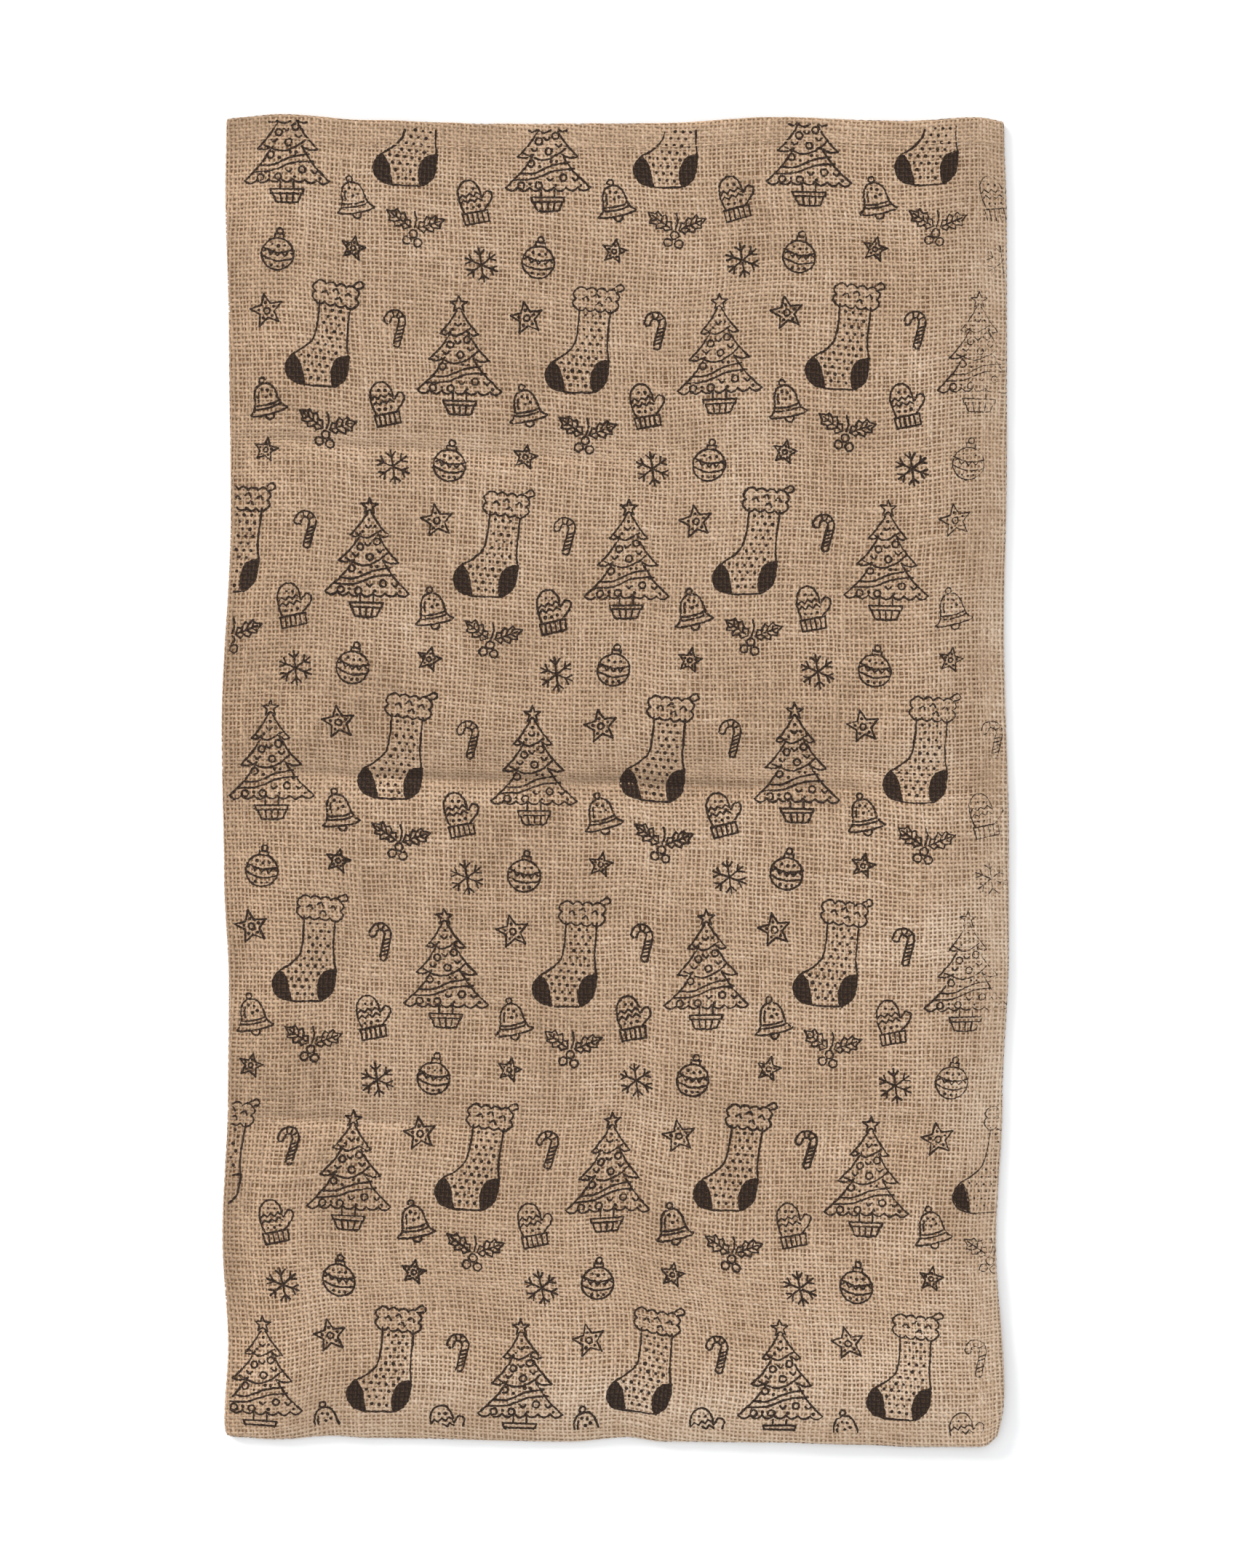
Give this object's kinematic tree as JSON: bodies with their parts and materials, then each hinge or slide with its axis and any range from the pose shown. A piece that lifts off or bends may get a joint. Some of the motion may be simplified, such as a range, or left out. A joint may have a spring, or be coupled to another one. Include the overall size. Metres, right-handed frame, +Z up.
{
  "type": "burlap bag",
  "caption": "Empty burlap bag lying flat, face up: coarse jute cloth folded down one side, sewn along the other side and the foot, hemmed at its open mouth.",
  "frame": {"origin": "on the surface that the bag lies on, under the middle of the bag", "axes": "+X to the bag's right as its printed front is seen, +Y along its length towards the mouth, +Z up through the front"},
  "size_m": [0.6054, 1.0248, 0.0117],
  "materials": {
    "jute_burlap": "raw jute in a coarse plain weave, matt, with dark line-art print",
    "sewing_thread": "twisted natural jute sewing thread, matt"
  },
  "bodies": {
    "root": {"sack_cloth": "jute_burlap"}
  },
  "joints": []
}
